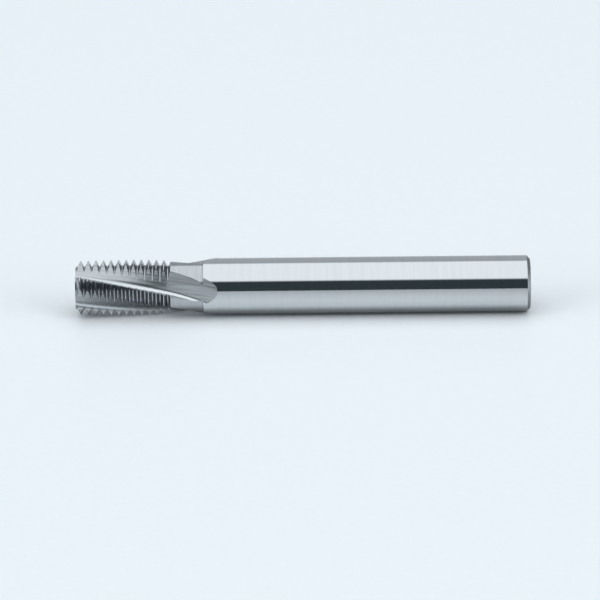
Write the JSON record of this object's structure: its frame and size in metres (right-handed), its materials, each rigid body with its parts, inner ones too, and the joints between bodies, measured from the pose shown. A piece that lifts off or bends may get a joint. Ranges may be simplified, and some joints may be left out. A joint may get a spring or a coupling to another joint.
{
  "type": "thread mill",
  "caption": "Solid carbide milling cutter with a plain round shank, a stepped-down neck and a head of ring-shaped thread teeth cut by four helical flutes, for milling pipe threads.",
  "frame": {"origin": "centre of the flat end of the shank, on which the tool stands", "axes": "+Z along the tool's axis, from the shank end to the cutting tip; +X and +Y square to it, with the first cutting edge leaving the tip at 64.5 degrees from +X towards -Y"},
  "size_m": [0.01, 0.01, 0.08],
  "materials": {
    "ground_carbide": "ground and polished"
  },
  "bodies": {
    "root": {"thread_mill": "ground_carbide"}
  },
  "joints": []
}
